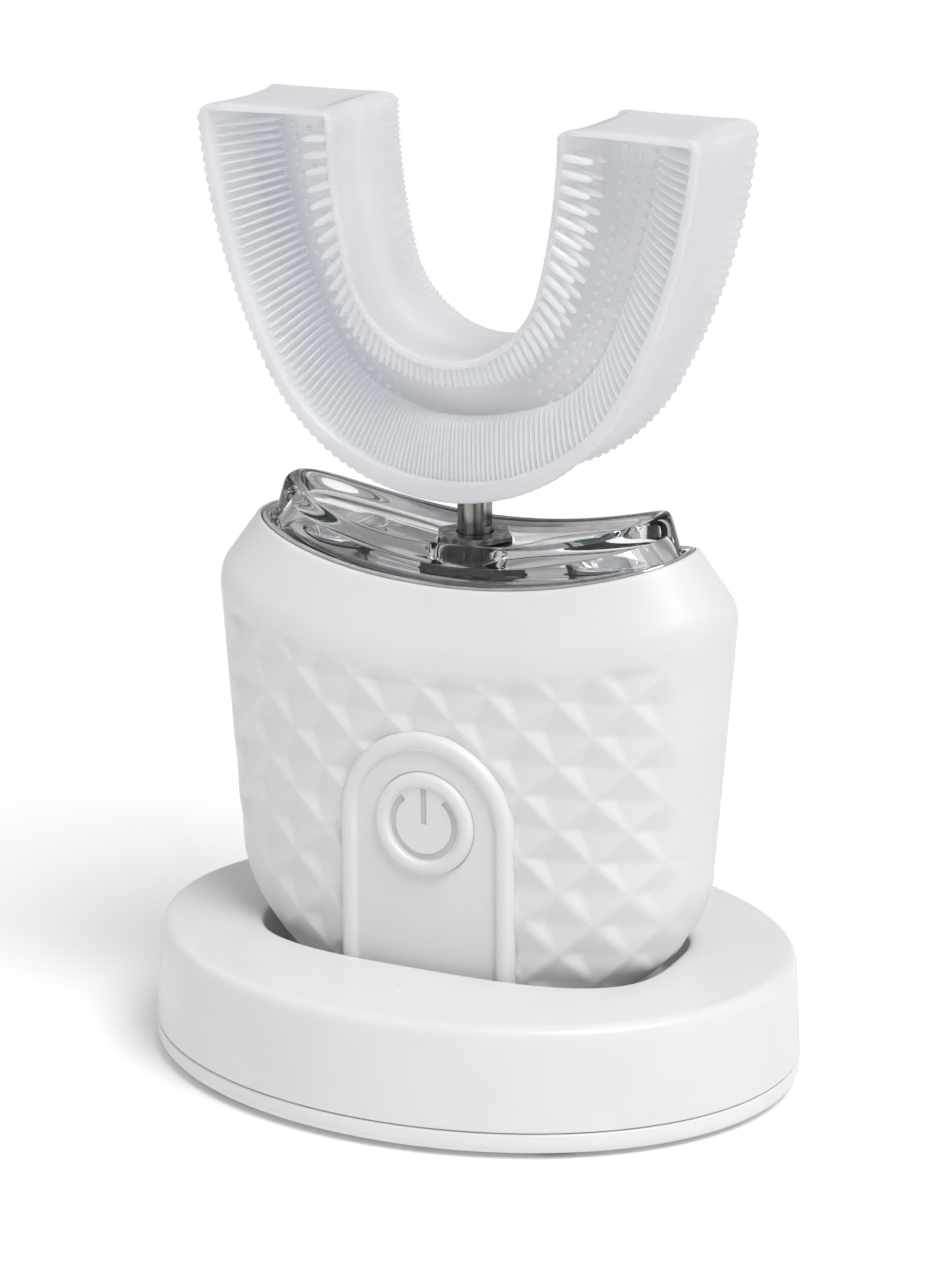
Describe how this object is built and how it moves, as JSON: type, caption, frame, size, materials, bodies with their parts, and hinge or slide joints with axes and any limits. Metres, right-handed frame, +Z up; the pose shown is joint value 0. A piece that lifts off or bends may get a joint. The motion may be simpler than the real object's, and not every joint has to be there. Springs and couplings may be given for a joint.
{
  "type": "electric toothbrush on charger",
  "caption": "Hands-free electric toothbrush: U-shaped silicone mouthpiece on a motor shaft, squat faceted handle with a power button, standing in an oval wireless charging base.",
  "frame": {"origin": "on the surface the base stands on, under the centre of the base and on the motor shaft's axis", "axes": "+Z up along the motor shaft, +X along the long side of the base, -Y towards the side with the power button"},
  "size_m": [0.082, 0.0652, 0.1171],
  "materials": {
    "base_plastic": "semi-gloss white ABS",
    "handle_plastic": "satin white ABS",
    "soft_white": "satin white silicone",
    "bright_trim": "bright metallised",
    "clear_plastic": "clear polished acrylic",
    "tray_silicone": "milky translucent silicone",
    "socket_nylon": "natural nylon",
    "steel": "turned steel",
    "bronze": "sintered bronze",
    "copper_winding": "enamelled copper",
    "ferrite": "matt sintered",
    "battery_can": "shrink-wrapped can",
    "circuit_board": "solder-masked glass fibre",
    "black_plastic": "moulded epoxy",
    "lamp_lens": "clear lens",
    "grey_plastic": "moulded frame",
    "dark_rubber": "matt"
  },
  "bodies": {
    "charger_base": {"base_shell": "base_plastic", "base_plate": "base_plastic", "base_foot_1": "dark_rubber", "base_foot_2": "dark_rubber", "base_foot_3": "dark_rubber", "base_foot_4": "dark_rubber", "base_screw_1": "steel", "base_screw_2": "steel", "base_screw_3": "steel", "base_screw_4": "steel", "transmitter_coil": "copper_winding", "transmitter_ferrite": "ferrite", "base_circuit_board": "circuit_board", "base_driver_chip": "black_plastic", "base_supply_chip": "black_plastic", "usb_inlet_shell": "steel", "usb_inlet_tongue": "black_plastic"},
    "handle": {"handle_shell": "handle_plastic", "control_panel": "soft_white", "trim_ring": "bright_trim", "clear_cap": "clear_plastic", "reflector_plate": "bright_trim", "reflector_cup_left": "bright_trim", "reflector_cup_right": "bright_trim", "lamp_board_left": "circuit_board", "lamp_board_right": "circuit_board", "lamp_left": "lamp_lens", "lamp_right": "lamp_lens", "shaft_seal": "dark_rubber", "shaft_collar": "steel", "inner_frame": "grey_plastic", "motor_can": "steel", "motor_end_cap": "steel", "motor_screw_left": "steel", "motor_screw_right": "steel", "motor_rear_bush": "bronze", "motor_front_bush": "bronze", "motor_stator": "copper_winding", "battery_cell": "battery_can", "handle_circuit_board": "circuit_board", "motor_driver_chip": "black_plastic", "charge_control_chip": "black_plastic", "board_screw_left": "steel", "board_screw_right": "steel", "switch_housing": "steel", "receiver_coil": "copper_winding", "receiver_ferrite": "ferrite"},
    "power_button": {"power_button": "soft_white", "switch_plunger": "black_plastic"},
    "drive_shaft": {"drive_shaft": "steel", "rotor_magnet": "ferrite"},
    "mouthpiece": {"mouthpiece_tray": "tray_silicone", "mouthpiece_socket": "socket_nylon"}
  },
  "joints": [
    {"name": "handle_lift", "type": "slide", "parent": "charger_base", "child": "handle", "axis": [0, 0, 1], "range_m": [0, 0.05]},
    {"name": "button_press", "type": "slide", "parent": "handle", "child": "power_button", "axis": [0, 1, 0], "range_m": [0, 0.0005], "stiffness_N_per_m": 1500},
    {"name": "shaft_oscillation", "type": "hinge", "parent": "handle", "child": "drive_shaft", "pos_m": [0, 0, 0.06], "axis": [0, 0, 1], "range_deg": [-5, 5], "stiffness_Nm_per_rad": 0.05},
    {"name": "mouthpiece_pull_off", "type": "slide", "parent": "drive_shaft", "child": "mouthpiece", "axis": [0, 0, 1], "range_m": [0, 0.015]}
  ]
}
